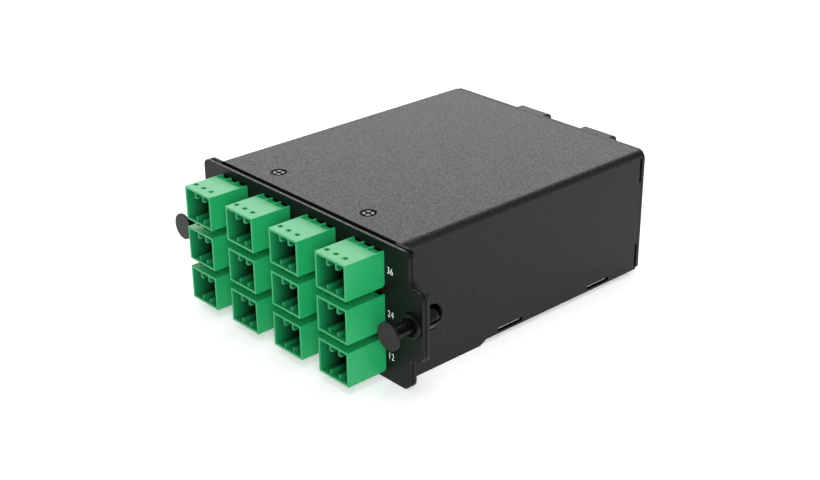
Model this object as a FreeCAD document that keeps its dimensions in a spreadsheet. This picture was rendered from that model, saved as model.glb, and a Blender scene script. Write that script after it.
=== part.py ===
"""Fibre cassette: 36 small ports in twelve green adapters at the front, six ribbon adapters at the back."""
import FreeCAD, Part
import math
import os
import re
import Sketcher

doc = FreeCAD.newDocument("FibreCassette")
sheet = doc.addObject("Spreadsheet::Sheet", "Sizes")

# Driving dimensions in millimetres
SIZES = {
    # folded box, which lies inside the plate's outline
    "plate_overhang": 4.8,
    "cover_drop": 0.15,
    "sheet": 1.2,
    "slip": 0.1,
    "bend_radius": 1.0,
    "rear_lift": 1.4,
    "cover_front": 2.9,
    "cover_length": 101.2,
    "skirt_length": 29.7,
    "skirt_slant": 2.6,
    # front plate and its ears
    "plate_side_margin": 9.83,
    "plate_edge_margin": 2.6,
    "plate_thickness": 1.5,
    "ear_reach": 5.5,
    "ear_height": 21.7,
    "corner_radius": 2.5,
    "flange_gap": 0.1,
    # front adapters and the gaps between them
    "column_gap": 7.98,
    "row_gap": 2.53,
    "adapter_width": 13.0,
    "adapter_height": 10.88,
    "adapter_proud": 13.85,
    "adapter_wall": 0.65,
    "mouth_depth": 10.3,
    "web": 3.55,
    "body_side_step": 0.3,
    "body_top_step": 0.84,
    "body_wall": 0.5,
    "body_length": 11.0,
    "body_fit": 0.1,
    "channel_pitch": 3.9,
    "rib_thickness": 0.6,
    "rib_height": 1.4,
    "rib_setback": 0.5,
    "hook_rib_height": 2.2,
    "hook_rib_foot": 0.7,
    "latch_window_width": 1.6,
    "latch_window_length": 1.4,
    "latch_window_setback": 2.45,
    "latch_window_shift": 1.1,
    "notch_width": 3.1,
    "notch_length": 2.7,
    "notch_depth": 1.7,
    "notch_shift": 0.5,
    "adapter_chamfer": 1.0,
    "slit_width": 2.2,
    "slit_height": 5.2,
    # spring clips behind the plate
    "clip_thickness": 0.3,
    "clip_length": 6.8,
    "clip_slip": 0.05,
    "clip_drop": 2.0,
    # plugs inside the front adapters
    "plug_width": 3.2,
    "plug_height": 7.2,
    "plug_length": 20.0,
    "plug_seat": 2.0,
    "carrier_fit": 0.2,
    "carrier_reach": 3.6,
    # push latches in the ears
    "latch_offset": 1.3,
    "collar_radius": 3.9,
    "collar_thickness": 1.2,
    "sleeve_radius": 2.9,
    "sleeve_fit": 0.05,
    "nose_radius": 2.35,
    "nose_length": 4.0,
    "nose_taper_length": 1.5,
    "nose_taper": 0.45,
    "nose_slot": 0.8,
    "collar_lip": 1.0,
    "collar_recess": 0.7,
    "head_radius": 4.25,
    "head_thickness": 1.1,
    "head_standoff": 6.6,
    "pin_radius": 1.75,
    "pin_fit": 0.05,
    "pin_flute": 0.9,
    "pin_end": 2.2,
    # cover screws
    "screw_span": 42.0,
    "screw_setback": 10.0,
    "screw_head_radius": 1.95,
    "screw_head_depth": 0.75,
    "screw_sink": 0.45,
    "screw_radius": 1.0,
    "screw_length": 5.0,
    "screw_fit": 0.05,
    "recess_width": 0.5,
    "recess_span": 2.2,
    "recess_depth": 0.55,
    "sink_radius": 2.6,
    "screw_tab_width": 12.0,
    "screw_tab_reach": 27.0,
    # openings in the box sides
    "side_hole_radius": 4.1,
    "side_hole_depth": 13.0,
    "side_hole_drop": 4.45,
    "tray_hole_rise": 2.2,
    "tab_slot_height": 1.1,
    "tab_slot_rise": 0.8,
    "tab_slot_length": 10.4,
    "tab_slot_front": 40.1,
    "tab_slot_rear": 82.3,
    "edge_slot_depth": 1.0,
    "edge_slot_length": 8.1,
    "edge_slot_drop": 2.35,
    "edge_slot_rise": 1.1,
    # rear wall with its two hooks
    "fold_radius": 0.2,
    "fold_clearance": 0.1,
    "fold_setback": 1.0,
    "wall_round": 3.0,
    "wall_chamfer": 1.0,
    "bend_relief": 2.0,
    "hook_width": 12.1,
    "hook_reach": 3.7,
    "hook_drop": 3.6,
    "hook_shift": 7.27,
    # ribbon adapters in the rear wall, with the same body as the front ones
    "rear_row_gap": 1.3,
    "rear_column_gap": 13.45,
    "rear_drop": 1.95,
    "rear_wall": 1.1,
    "rear_reach": 10.0,
    "rear_inner": 10.0,
    "rear_flange_width": 15.2,
    "rear_flange_height": 10.2,
    "rear_flange_thickness": 1.6,
    "rear_web": 1.5,
    "rear_slit_width": 6.8,
    "rear_slit_height": 2.6,
    "key_width": 3.0,
    "key_depth": 0.7,
    # ribbon harness between the plugs
    "ribbon_width": 5.0,
    "ribbon_thickness": 1.0,
    "ribbon_plug_width": 9.4,
    "ribbon_plug_height": 6.2,
    "ribbon_plug_length": 19.0,
    "ribbon_plug_fit": 0.4,
    "block_length": 10.0,
    "block_width": 12.0,
    "block_height": 4.0,
    "block_start": 46.0,
}

for row, (alias, number) in enumerate(SIZES.items(), start=1):
    sheet.set(f"A{row}", alias)
    sheet.set(f"B{row}", str(number))
    sheet.setAlias(f"B{row}", alias)
doc.recompute()

# Sizes worked out from the driving ones, as expressions
COLUMN_PITCH = "(adapter_width + column_gap)"
ROW_PITCH = "(adapter_height + row_gap)"
PLATE_HALF = f"((3 * {COLUMN_PITCH} + adapter_width) / 2 + plate_side_margin)"
PLATE_HEIGHT = f"(2 * {ROW_PITCH} + adapter_height + 2 * plate_edge_margin)"
EAR_HALF = f"({PLATE_HALF} + ear_reach)"
MID_HEIGHT = f"({PLATE_HEIGHT} / 2)"
BOX_HALF = f"({PLATE_HALF} - plate_overhang)"
BOX_TOP = f"({PLATE_HEIGHT} - cover_drop)"
LATCH_X = f"({PLATE_HALF} + latch_offset)"
FLANGE_FRONT = "(plate_thickness + flange_gap)"
FLANGE_REAR = "(plate_thickness + flange_gap + sheet)"
TRAY_HALF = f"({BOX_HALF} - sheet - slip)"
TRAY_TOP = f"({BOX_TOP} - sheet - slip)"
WALL_TOP = f"({TRAY_TOP} - bend_radius)"
SIDE_HOLE_Z = f"({MID_HEIGHT} - side_hole_drop)"
COVER_REAR = "(cover_front + cover_length)"
WALL_FRONT = "(cover_front + cover_length + slip)"
WALL_REAR = "(cover_front + cover_length + slip + sheet)"
TRAY_REAR = "(cover_front + cover_length - fold_setback)"
REAR_TIP = f"({WALL_REAR} + rear_flange_thickness + rear_reach)"
HOME = f"((adapter_proud - {REAR_TIP}) / 2)"
BODY_WIDTH = "(adapter_width - 2 * body_side_step)"
BODY_HEIGHT = "(adapter_height - 2 * body_top_step)"
BODY_SLOT_WIDTH = f"({BODY_WIDTH} + 2 * body_fit)"
BODY_SLOT_HEIGHT = f"({BODY_HEIGHT} + 2 * body_fit)"
CLIP_INNER = f"({BODY_WIDTH} / 2 + clip_slip)"
ROW_NUMBERS = range(1, 4)
COLUMN_NUMBERS = range(1, 5)
REAR_COLUMN_NUMBERS = range(1, 3)
SIDES = {"left": -1, "right": 1}

kept = {}


def expand(text):
    """Point each size named in the text at its cell."""
    return re.sub(r"[a-z_]+", lambda word: "Sizes." + word[0] if word[0] in SIZES else word[0], text)


def bind(item, prop, text):
    item.setExpression(prop, expand(text))


def value(text):
    return float(sheet.evalExpression(expand(text)))


def new_body(label):
    body = doc.addObject("PartDesign::Body", label)
    body.Label = label
    return body


def keep(body, x="0", y="0", z="0"):
    """Place a finished sub-part, and list it under its label."""
    bind(body, "Placement.Base.x", x)
    bind(body, "Placement.Base.y", f"{HOME} + {y}")
    bind(body, "Placement.Base.z", z)
    kept[body.Label] = body


def keep_copy(master, label, x, y, z):
    """Place one more of a sub-part that repeats."""
    link = doc.addObject("App::Link", label)
    link.LinkedObject = master
    link.Label = label
    link.LinkTransform = False
    keep(link, x, y, z)


def new_sketch(body, plane, offset):
    """Sketch on an origin plane of its body, moved along the plane's normal."""
    sketch = body.newObject("Sketcher::SketchObject", "Sketch")
    origin_plane = next(item for item in body.Origin.OriginFeatures if item.Role == plane)
    sketch.AttachmentSupport = [(origin_plane, "")]
    sketch.MapMode = "FlatFace"
    bind(sketch, "AttachmentOffset.Base.z", offset)
    return sketch


def add_loop(sketch, points):
    """Closed run of lines; each corner is held by its two distances from the origin."""
    places = [FreeCAD.Vector(value(across), value(up), 0) for across, up in points]
    first = sketch.GeometryCount
    for start, end in zip(places, places[1:] + places[:1]):
        sketch.addGeometry(Part.LineSegment(start, end), False)
    for number in range(len(points)):
        line = first + number
        following = first + (number + 1) % len(points)
        sketch.addConstraint(Sketcher.Constraint("Coincident", line, 2, following, 1))
        for kind, text, distance in (("DistanceX", points[number][0], places[number].x),
                                     ("DistanceY", points[number][1], places[number].y)):
            held = sketch.addConstraint(Sketcher.Constraint(kind, -1, 1, line, 1, distance))
            bind(sketch, f"Constraints[{held}]", text)


def add_circle(sketch, across, up, radius):
    centre = FreeCAD.Vector(value(across), value(up), 0)
    circle = sketch.addGeometry(Part.Circle(centre, FreeCAD.Vector(0, 0, 1), value(radius)), False)
    for kind, text, distance in (("DistanceX", across, centre.x), ("DistanceY", up, centre.y)):
        held = sketch.addConstraint(Sketcher.Constraint(kind, -1, 1, circle, 3, distance))
        bind(sketch, f"Constraints[{held}]", text)
    held = sketch.addConstraint(Sketcher.Constraint("Radius", circle, value(radius)))
    bind(sketch, f"Constraints[{held}]", radius)


def rectangle(x_low, x_high, z_low, z_high):
    return [(x_low, z_low), (x_high, z_low), (x_high, z_high), (x_low, z_high)]


def centred(width, height, x="0", z="0"):
    return rectangle(f"{x} - {width} / 2", f"{x} + {width} / 2",
                     f"{z} - {height} / 2", f"{z} + {height} / 2")


def along_y(body, kind, loops, y_from, y_to, circles=()):
    """Pad or pocket a front view between two depths."""
    sketch = new_sketch(body, "XZ_Plane", f"-({y_from})")
    for points in loops:
        add_loop(sketch, points)
    for circle in circles:
        add_circle(sketch, *circle)
    feature = body.newObject(f"PartDesign::{kind}", kind)
    feature.Profile = sketch
    feature.Reversed = kind == "Pad"
    bind(feature, "Length", f"{y_to} - ({y_from})")
    return settle(body, feature)


def along_x(body, kind, loops, x_from, x_to, circles=()):
    """Pad or pocket a side view between two places across the width."""
    sketch = new_sketch(body, "YZ_Plane", x_from)
    for points in loops:
        add_loop(sketch, points)
    for circle in circles:
        add_circle(sketch, *circle)
    feature = body.newObject(f"PartDesign::{kind}", kind)
    feature.Profile = sketch
    feature.Reversed = kind == "Pocket"
    bind(feature, "Length", f"{x_to} - ({x_from})")
    return settle(body, feature)


def along_z(body, kind, loops, z_from, z_to, circles=()):
    """Pad or pocket a plan view between two heights."""
    sketch = new_sketch(body, "XY_Plane", z_from)
    for points in loops:
        add_loop(sketch, points)
    for circle in circles:
        add_circle(sketch, *circle)
    feature = body.newObject(f"PartDesign::{kind}", kind)
    feature.Profile = sketch
    feature.Reversed = kind == "Pocket"
    bind(feature, "Length", f"{z_to} - ({z_from})")
    return settle(body, feature)


def settle(body, feature):
    """Recompute one feature and see that it changed its body."""
    before = body.Shape.Volume if body.Shape.Solids else 0.0
    doc.recompute()
    if abs(body.Shape.Volume - before) < 1e-6:
        raise RuntimeError(f"{body.Label}: {feature.Name} changed nothing")
    if not body.Shape.isValid():
        raise RuntimeError(f"{body.Label}: {feature.Name} gave a shape that isn't valid")
    return feature


def turned(body, points):
    """Revolve a half section, given as (radius, depth), about the body's Y axis."""
    sketch = new_sketch(body, "XY_Plane", "0")
    add_loop(sketch, points)
    axis = next(item for item in body.Origin.OriginFeatures if item.Role == "Y_Axis")
    feature = body.newObject("PartDesign::Revolution", "Revolution")
    feature.Profile = sketch
    feature.ReferenceAxis = (axis, [""])
    feature.Angle = 360.0
    return settle(body, feature)


def soften(body, kind, radius, test):
    """Fillet or chamfer the edges of the body's tip that pass the test."""
    tip = body.Tip
    names = [f"Edge{number}" for number, edge in enumerate(tip.Shape.Edges, start=1) if test(edge)]
    feature = body.newObject(f"PartDesign::{kind}", kind)
    feature.Base = (tip, names)
    bind(feature, "Radius" if kind == "Fillet" else "Size", radius)
    return settle(body, feature)


def runs_along(edge, axis):
    """True for a straight edge parallel to the axis."""
    if not isinstance(edge.Curve, Part.Line):
        return False
    return abs(abs(edge.Curve.Direction[axis]) - 1) < 1e-6


def near(number, target):
    return abs(number - value(target)) < 1e-4


def column_x(column):
    return f"({column} - {(len(COLUMN_NUMBERS) + 1) / 2}) * {COLUMN_PITCH}"


def row_z(row):
    return f"{MID_HEIGHT} + ({row} - {(len(ROW_NUMBERS) + 1) / 2}) * {ROW_PITCH}"


# Front plate: one stamped sheet with two ears and twelve cut-outs
def eared_outline(inner=None):
    """Right half of the plate's outline from an inner edge, or the whole outline."""
    ear_low = f"{MID_HEIGHT} - ear_height / 2"
    ear_high = f"{MID_HEIGHT} + ear_height / 2"
    right = [(PLATE_HALF, "0"), (PLATE_HALF, ear_low), (EAR_HALF, ear_low),
             (EAR_HALF, ear_high), (PLATE_HALF, ear_high), (PLATE_HALF, PLATE_HEIGHT)]
    if inner:
        return [(inner, "0")] + right + [(inner, PLATE_HEIGHT)]
    return right + [(f"-{across}", up) for across, up in reversed(right)]


def latch_holes():
    radius = "sleeve_radius + sleeve_fit"
    return [(f"{side} * {LATCH_X}", MID_HEIGHT, radius) for side in SIDES.values()]


def make_front_plate():
    body = new_body("front_plate")
    along_y(body, "Pad", [eared_outline()], "0", "plate_thickness")
    soften(body, "Fillet", "corner_radius", lambda edge: runs_along(edge, 1))
    slots = [centred(BODY_SLOT_WIDTH, BODY_SLOT_HEIGHT, column_x(column), row_z(row))
             for row in ROW_NUMBERS for column in COLUMN_NUMBERS]
    along_y(body, "Pocket", slots, "0", "plate_thickness", latch_holes())
    keep(body)


# Base tray: floor and walls of one folded sheet, its front ends turned out as ears
def make_base_tray():
    body = new_body("base_tray")
    inner = f"{TRAY_HALF} - sheet"
    floor_top = "rear_lift + sheet"
    section = [(f"-{TRAY_HALF}", WALL_TOP), (f"-{TRAY_HALF}", "rear_lift"), (TRAY_HALF, "rear_lift"),
               (TRAY_HALF, WALL_TOP), (inner, WALL_TOP), (inner, floor_top),
               (f"-({inner})", floor_top), (f"-({inner})", WALL_TOP)]
    along_y(body, "Pad", [section], FLANGE_FRONT, TRAY_REAR)
    soften(body, "Fillet", "bend_radius + sheet",
           lambda edge: runs_along(edge, 1) and near(edge.CenterOfMass.z, "rear_lift"))
    soften(body, "Fillet", "bend_radius",
           lambda edge: runs_along(edge, 1) and near(edge.CenterOfMass.z, floor_top))
    flange = eared_outline(inner)
    mirrored = [(f"-({across})", up) for across, up in flange]
    along_y(body, "Pad", [flange, mirrored], FLANGE_FRONT, FLANGE_REAR)
    outer = value(PLATE_HALF) - 1e-4
    soften(body, "Fillet", "corner_radius",
           lambda edge: runs_along(edge, 1) and abs(edge.CenterOfMass.x) > outer)
    tab = rectangle(f"{TRAY_HALF} - screw_tab_reach", TRAY_HALF,
                    "screw_setback - screw_tab_width / 2", "screw_setback + screw_tab_width / 2")
    other = [(f"-({across})", depth) for across, depth in tab]
    along_z(body, "Pad", [tab, other], f"{TRAY_TOP} - sheet", TRAY_TOP)
    wall = value(TRAY_HALF) - 1e-4
    soften(body, "Fillet", "bend_radius",
           lambda edge: runs_along(edge, 1) and near(edge.CenterOfMass.z, TRAY_TOP)
           and abs(edge.CenterOfMass.x) > wall)
    add_rear_wall(body)
    along_y(body, "Pocket", [], FLANGE_FRONT, FLANGE_REAR, latch_holes())
    along_z(body, "Pocket", [], f"{TRAY_TOP} - sheet", TRAY_TOP,
            [(f"{side} * screw_span / 2", "screw_setback", "screw_radius") for side in SIDES.values()])
    along_x(body, "Pocket", [], f"-{TRAY_HALF}", TRAY_HALF,
            [("side_hole_depth", f"{SIDE_HOLE_Z} + tray_hole_rise", "side_hole_radius")])
    keep(body)


# Rear wall of the tray: folded up from the floor, its top edge folded back into two hooks
def hook_x(column):
    """Centre of a hook and of the adapters under it; column 1 is the left one."""
    return f"(hook_shift + ({column} - 1.5) * (rear_flange_width + rear_column_gap))"


def rear_z(row):
    return f"({MID_HEIGHT} - rear_drop + ({row} - 2) * (rear_flange_height + rear_row_gap))"


def add_rear_wall(body):
    floor_top = "rear_lift + sheet"
    fold_half = f"({TRAY_HALF} - sheet - bend_relief)"
    along_y(body, "Pad", [rectangle(f"-{fold_half}", fold_half, "rear_lift", floor_top)],
            f"{TRAY_REAR} - sheet", WALL_REAR)
    bottom = "(rear_lift + sheet + fold_radius + fold_clearance)"
    outline = [(f"-{fold_half}", "rear_lift"), (fold_half, "rear_lift"), (fold_half, bottom),
               (BOX_HALF, bottom), (BOX_HALF, BOX_TOP), (f"-{BOX_HALF}", BOX_TOP),
               (f"-{BOX_HALF}", bottom), (f"-{fold_half}", bottom)]
    along_y(body, "Pad", [outline], WALL_FRONT, WALL_REAR)
    soften(body, "Fillet", "fold_radius + sheet",
           lambda edge: runs_along(edge, 0) and near(edge.CenterOfMass.y, WALL_REAR)
           and near(edge.CenterOfMass.z, "rear_lift"))
    corner = value(BOX_HALF) - 1e-4
    soften(body, "Fillet", "wall_round",
           lambda edge: runs_along(edge, 1) and near(edge.CenterOfMass.z, BOX_TOP)
           and abs(edge.CenterOfMass.x) > corner)
    soften(body, "Chamfer", "wall_chamfer",
           lambda edge: runs_along(edge, 1) and near(edge.CenterOfMass.z, bottom)
           and abs(edge.CenterOfMass.x) > corner)
    add_hooks(body)
    windows = [centred(BODY_SLOT_WIDTH, BODY_SLOT_HEIGHT, hook_x(column), rear_z(row))
               for row in ROW_NUMBERS for column in REAR_COLUMN_NUMBERS]
    along_y(body, "Pocket", windows, WALL_FRONT, WALL_REAR)


def add_hooks(body):
    under = f"({BOX_TOP} - sheet)"
    tip = f"({WALL_REAR} + hook_reach)"
    lip = f"({BOX_TOP} - hook_drop)"
    hook = [(WALL_FRONT, under), (WALL_FRONT, BOX_TOP), (tip, BOX_TOP), (tip, lip),
            (f"{tip} - sheet", lip), (f"{tip} - sheet", under)]
    for column in REAR_COLUMN_NUMBERS:
        along_x(body, "Pad", [hook], f"{hook_x(column)} - hook_width / 2",
                f"{hook_x(column)} + hook_width / 2")
    soften(body, "Fillet", "bend_radius + sheet",
           lambda edge: runs_along(edge, 0) and near(edge.CenterOfMass.y, tip)
           and near(edge.CenterOfMass.z, BOX_TOP))
    soften(body, "Fillet", "bend_radius",
           lambda edge: runs_along(edge, 0) and near(edge.CenterOfMass.y, f"{tip} - sheet")
           and near(edge.CenterOfMass.z, under))


# Cover: top and two sides of one folded sheet, skirted at the front
def make_cover():
    body = new_body("cover")
    half = BOX_HALF
    inner = f"({BOX_HALF} - sheet)"
    under = f"({BOX_TOP} - sheet)"
    section = [(f"-{half}", "0"), (f"-{inner}", "0"), (f"-{inner}", under), (inner, under),
               (inner, "0"), (half, "0"), (half, BOX_TOP), (f"-{half}", BOX_TOP)]
    along_y(body, "Pad", [section], "cover_front", COVER_REAR)
    soften(body, "Fillet", "bend_radius + sheet",
           lambda edge: runs_along(edge, 1) and near(edge.CenterOfMass.z, BOX_TOP))
    soften(body, "Fillet", "bend_radius",
           lambda edge: runs_along(edge, 1) and near(edge.CenterOfMass.z, under))
    skirt_end = "cover_front + skirt_length"
    raised = [(skirt_end, "0"), (f"{skirt_end} + skirt_slant", "rear_lift"),
              (COVER_REAR, "rear_lift"), (COVER_REAR, "0")]
    slot_low = "rear_lift + tab_slot_rise"
    slots = [rectangle(start, f"{start} + tab_slot_length", slot_low, f"{slot_low} + tab_slot_height")
             for start in ("tab_slot_front", "tab_slot_rear")]
    slot_start = f"{COVER_REAR} - edge_slot_depth"
    slot_top = f"{BOX_TOP} - edge_slot_drop"
    slot_bottom = "rear_lift + edge_slot_rise"
    edges = [rectangle(slot_start, COVER_REAR, f"{slot_top} - edge_slot_length", slot_top),
             rectangle(slot_start, COVER_REAR, slot_bottom, f"{slot_bottom} + edge_slot_length")]
    along_x(body, "Pocket", [raised] + slots + edges, f"-{half}", half,
            [("side_hole_depth", SIDE_HOLE_Z, "side_hole_radius")])
    for side in SIDES.values():
        cone = body.newObject("PartDesign::SubtractiveCone", "Countersink")
        bind(cone, "Radius1", "screw_radius + screw_fit")
        bind(cone, "Radius2", "sink_radius")
        bind(cone, "Height", "sheet")
        bind(cone, "Placement.Base.x", f"{side} * screw_span / 2")
        bind(cone, "Placement.Base.y", "screw_setback")
        bind(cone, "Placement.Base.z", under)
        settle(body, cone)
    keep(body)


# Front adapter: a moulded shell with three latch channels, open at both ends
def channel_x(channel):
    """Centre of a channel; -1, 0 and 1 are left, middle and right."""
    return f"{channel} * channel_pitch"


def make_adapter():
    body = new_body("adapter_row1_column1")
    half_width = "adapter_width / 2"
    half_height = "(adapter_height / 2)"
    mouth = "-adapter_proud"
    side_view = [(mouth, f"-{half_height}"), ("-adapter_chamfer", f"-{half_height}"),
                 ("0", f"-{half_height} + adapter_chamfer"), ("0", f"{half_height} - adapter_chamfer"),
                 ("-adapter_chamfer", half_height), (mouth, half_height)]
    along_x(body, "Pad", [side_view], f"-{half_width}", half_width)
    along_y(body, "Pad", [centred(BODY_WIDTH, BODY_HEIGHT)], "0", "body_length")
    cavity_width = "(adapter_width - 2 * adapter_wall)"
    cavity_height = "(adapter_height - 2 * adapter_wall)"
    mouth_end = "(mouth_depth - adapter_proud)"
    along_y(body, "Pocket", [centred(cavity_width, cavity_height)], mouth, mouth_end)
    along_y(body, "Pocket", [centred(f"({BODY_WIDTH} - 2 * body_wall)", f"({BODY_HEIGHT} - 2 * body_wall)")],
            f"{mouth_end} + web", "body_length")
    slits = [centred("slit_width", "slit_height", channel_x(channel)) for channel in (-1, 0, 1)]
    along_y(body, "Pocket", slits, mouth_end, f"{mouth_end} + web")
    add_adapter_ribs(body, mouth, mouth_end, f"({cavity_height} / 2)")
    add_adapter_windows(body, mouth, half_height)
    keep(body, column_x(1), "0", row_z(1))
    return body


def add_adapter_ribs(body, mouth, mouth_end, roof):
    """Keying ribs between the channels: plain ones below, hooked ones above."""
    floor_ribs = []
    hook_ribs = []
    for channel in (-0.5, 0.5):
        low = f"{channel_x(channel)} - rib_thickness / 2"
        high = f"{channel_x(channel)} + rib_thickness / 2"
        foot = f"{high} + hook_rib_foot"
        tip = f"{roof} - hook_rib_height"
        floor_ribs.append(rectangle(low, high, f"-{roof}", f"rib_height - {roof}"))
        hook_ribs.append([(low, roof), (low, tip), (foot, tip), (foot, f"{tip} + rib_thickness"),
                          (high, f"{tip} + rib_thickness"), (high, roof)])
    along_y(body, "Pad", floor_ribs + hook_ribs, f"{mouth} + rib_setback", mouth_end)


def add_adapter_windows(body, mouth, half_height):
    """Three latch windows near the mouth and three notches at the plate, both in the top wall."""
    windows = [rectangle(f"{channel_x(channel)} - latch_window_shift - latch_window_width / 2",
                         f"{channel_x(channel)} - latch_window_shift + latch_window_width / 2",
                         f"{mouth} + latch_window_setback",
                         f"{mouth} + latch_window_setback + latch_window_length")
               for channel in (-1, 0, 1)]
    along_z(body, "Pocket", windows, f"{half_height} - adapter_wall", half_height)
    notches = [rectangle(f"{channel_x(channel)} - notch_shift - notch_width / 2",
                         f"{channel_x(channel)} - notch_shift + notch_width / 2", "-notch_length", "0")
               for channel in (-1, 0, 1)]
    along_z(body, "Pocket", notches, f"{half_height} - notch_depth", half_height)


# Spring clip: a thin saddle that grips the adapter's body and bears on the plate's back
def make_clip():
    body = new_body("clip")
    inner = CLIP_INNER
    outer = f"({CLIP_INNER} + clip_thickness)"
    roof = f"({BODY_HEIGHT} / 2 + clip_slip)"
    saddle = [(f"-{outer}", "-clip_drop"), (f"-{inner}", "-clip_drop"), (f"-{inner}", roof),
              (inner, roof), (inner, "-clip_drop"), (outer, "-clip_drop"),
              (outer, f"{roof} + clip_thickness"), (f"-{outer}", f"{roof} + clip_thickness")]
    start = "(plate_thickness + clip_slip)"
    along_y(body, "Pad", [saddle], start, f"{start} + clip_length")
    return body


# Plugs inside each adapter: three two-fibre plugs side by side
def make_plug():
    body = new_body("plug")
    along_y(body, "Pad", [centred("plug_width", "plug_height")], "plug_seat", "plug_seat + plug_length")
    carrier = centred("(slit_width - 2 * carrier_fit)", "(slit_height - 2 * carrier_fit)")
    along_y(body, "Pad", [carrier], "plug_seat - carrier_reach", "plug_seat")
    return body


# Latch grommet: recessed collar, sleeve through both sheets, and split nose behind them
def make_grommet():
    body = new_body("latch_grommet_left")
    bore = "pin_radius + pin_fit"
    nose_end = f"({FLANGE_REAR} + nose_length)"
    tip = f"({nose_end} + nose_taper_length)"
    lip = "(collar_radius - collar_lip)"
    floor = "(collar_recess - collar_thickness)"
    turned(body, [(bore, floor), (lip, floor), (lip, "-collar_thickness"),
                  ("collar_radius", "-collar_thickness"), ("collar_radius", "0"), ("sleeve_radius", "0"),
                  ("sleeve_radius", FLANGE_REAR), ("nose_radius", FLANGE_REAR), ("nose_radius", nose_end),
                  ("nose_radius - nose_taper", tip), (bore, tip)])
    along_y(body, "Pocket", [centred("2 * sleeve_radius", "nose_slot")], FLANGE_REAR, tip)
    keep(body, f"-{LATCH_X}", "0", MID_HEIGHT)
    return body


# Latch plunger: a thumb disc on a fluted pin, shown pulled out
def make_plunger():
    body = new_body("latch_plunger_left")
    head_back = "-(collar_thickness + head_standoff)"
    head_front = f"{head_back} - head_thickness"
    turned(body, [("0", head_front), ("head_radius", head_front), ("head_radius", head_back),
                  ("pin_radius", head_back), ("pin_radius", "pin_end - pin_flute / 2"),
                  ("pin_radius - pin_flute / 2", "pin_end"), ("0", "pin_end")])
    inner = "pin_flute / 2"
    flutes = [rectangle(inner, "pin_radius", inner, "pin_radius"),
              rectangle("-pin_radius", f"-{inner}", inner, "pin_radius"),
              rectangle("-pin_radius", f"-{inner}", "-pin_radius", f"-{inner}"),
              rectangle(inner, "pin_radius", "-pin_radius", f"-{inner}")]
    along_y(body, "Pocket", flutes, head_back, "pin_end")
    keep(body, f"-{LATCH_X}", "0", MID_HEIGHT)
    return body


# Cover screws: countersunk, cross recessed, a little below the cover's top
def make_cover_screw():
    body = new_body("cover_screw")
    sketch = new_sketch(body, "XZ_Plane", "0")
    add_loop(sketch, [("0", "-screw_length"), ("screw_radius", "-screw_length"),
                      ("screw_radius", "-screw_head_depth"), ("screw_head_radius", "0"), ("0", "0")])
    axis = next(item for item in body.Origin.OriginFeatures if item.Role == "Z_Axis")
    turn = body.newObject("PartDesign::Revolution", "Revolution")
    turn.Profile = sketch
    turn.ReferenceAxis = (axis, [""])
    turn.Angle = 360.0
    settle(body, turn)
    along_z(body, "Pocket", [centred("recess_span", "recess_width")], "-recess_depth", "0")
    along_z(body, "Pocket", [centred("recess_width", "recess_span")], "-recess_depth", "0")
    return body


# Ribbon adapter: a flanged tube through the rear wall with a key slot in its roof
def make_rear_adapter():
    body = new_body("rear_adapter_row1_column1")
    tip = "(rear_flange_thickness + rear_reach)"
    back = "(sheet + rear_inner)"
    along_y(body, "Pad", [centred(BODY_WIDTH, BODY_HEIGHT)], f"-{back}", tip)
    along_y(body, "Pad", [centred("rear_flange_width", "rear_flange_height")], "0", "rear_flange_thickness")
    bore = centred(f"({BODY_WIDTH} - 2 * rear_wall)", f"({BODY_HEIGHT} - 2 * rear_wall)")
    roof = f"({BODY_HEIGHT} / 2 - rear_wall)"
    key = rectangle("-key_width / 2", "key_width / 2", roof, f"{roof} + key_depth")
    along_y(body, "Pocket", [bore], "rear_web / 2", tip)
    along_y(body, "Pocket", [key], "rear_web / 2", tip)
    along_y(body, "Pocket", [bore], f"-{back}", "-rear_web / 2")
    along_y(body, "Pocket", [centred("rear_slit_width", "rear_slit_height")], "-rear_web / 2", "rear_web / 2")
    keep(body, hook_x(1), WALL_REAR, rear_z(1))
    return body


def make_ribbon_plug():
    body = new_body("ribbon_plug_row1_column1")
    start = "-(rear_web / 2 + ribbon_plug_fit)"
    along_y(body, "Pad", [centred("ribbon_plug_width", "ribbon_plug_height")],
            f"{start} - ribbon_plug_length", start)
    keep(body, hook_x(1), WALL_REAR, rear_z(1))
    return body


# Ribbon harness: a ribbon from each rear plug to a fan-out block, and two legs to its adapters
def ribbon_run(start, end):
    """Flat ribbon with square ends between two points, each in the plane of its end face."""
    width = value("ribbon_width")
    thickness = value("ribbon_thickness")
    faces = []
    for place in (start, end):
        corner = place - FreeCAD.Vector(width / 2, 0, thickness / 2)
        across = FreeCAD.Vector(width, 0, 0)
        up = FreeCAD.Vector(0, 0, thickness)
        faces.append(Part.makePolygon([corner, corner + across, corner + across + up, corner + up, corner]))
    return Part.makeLoft(faces, True, True)


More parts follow.
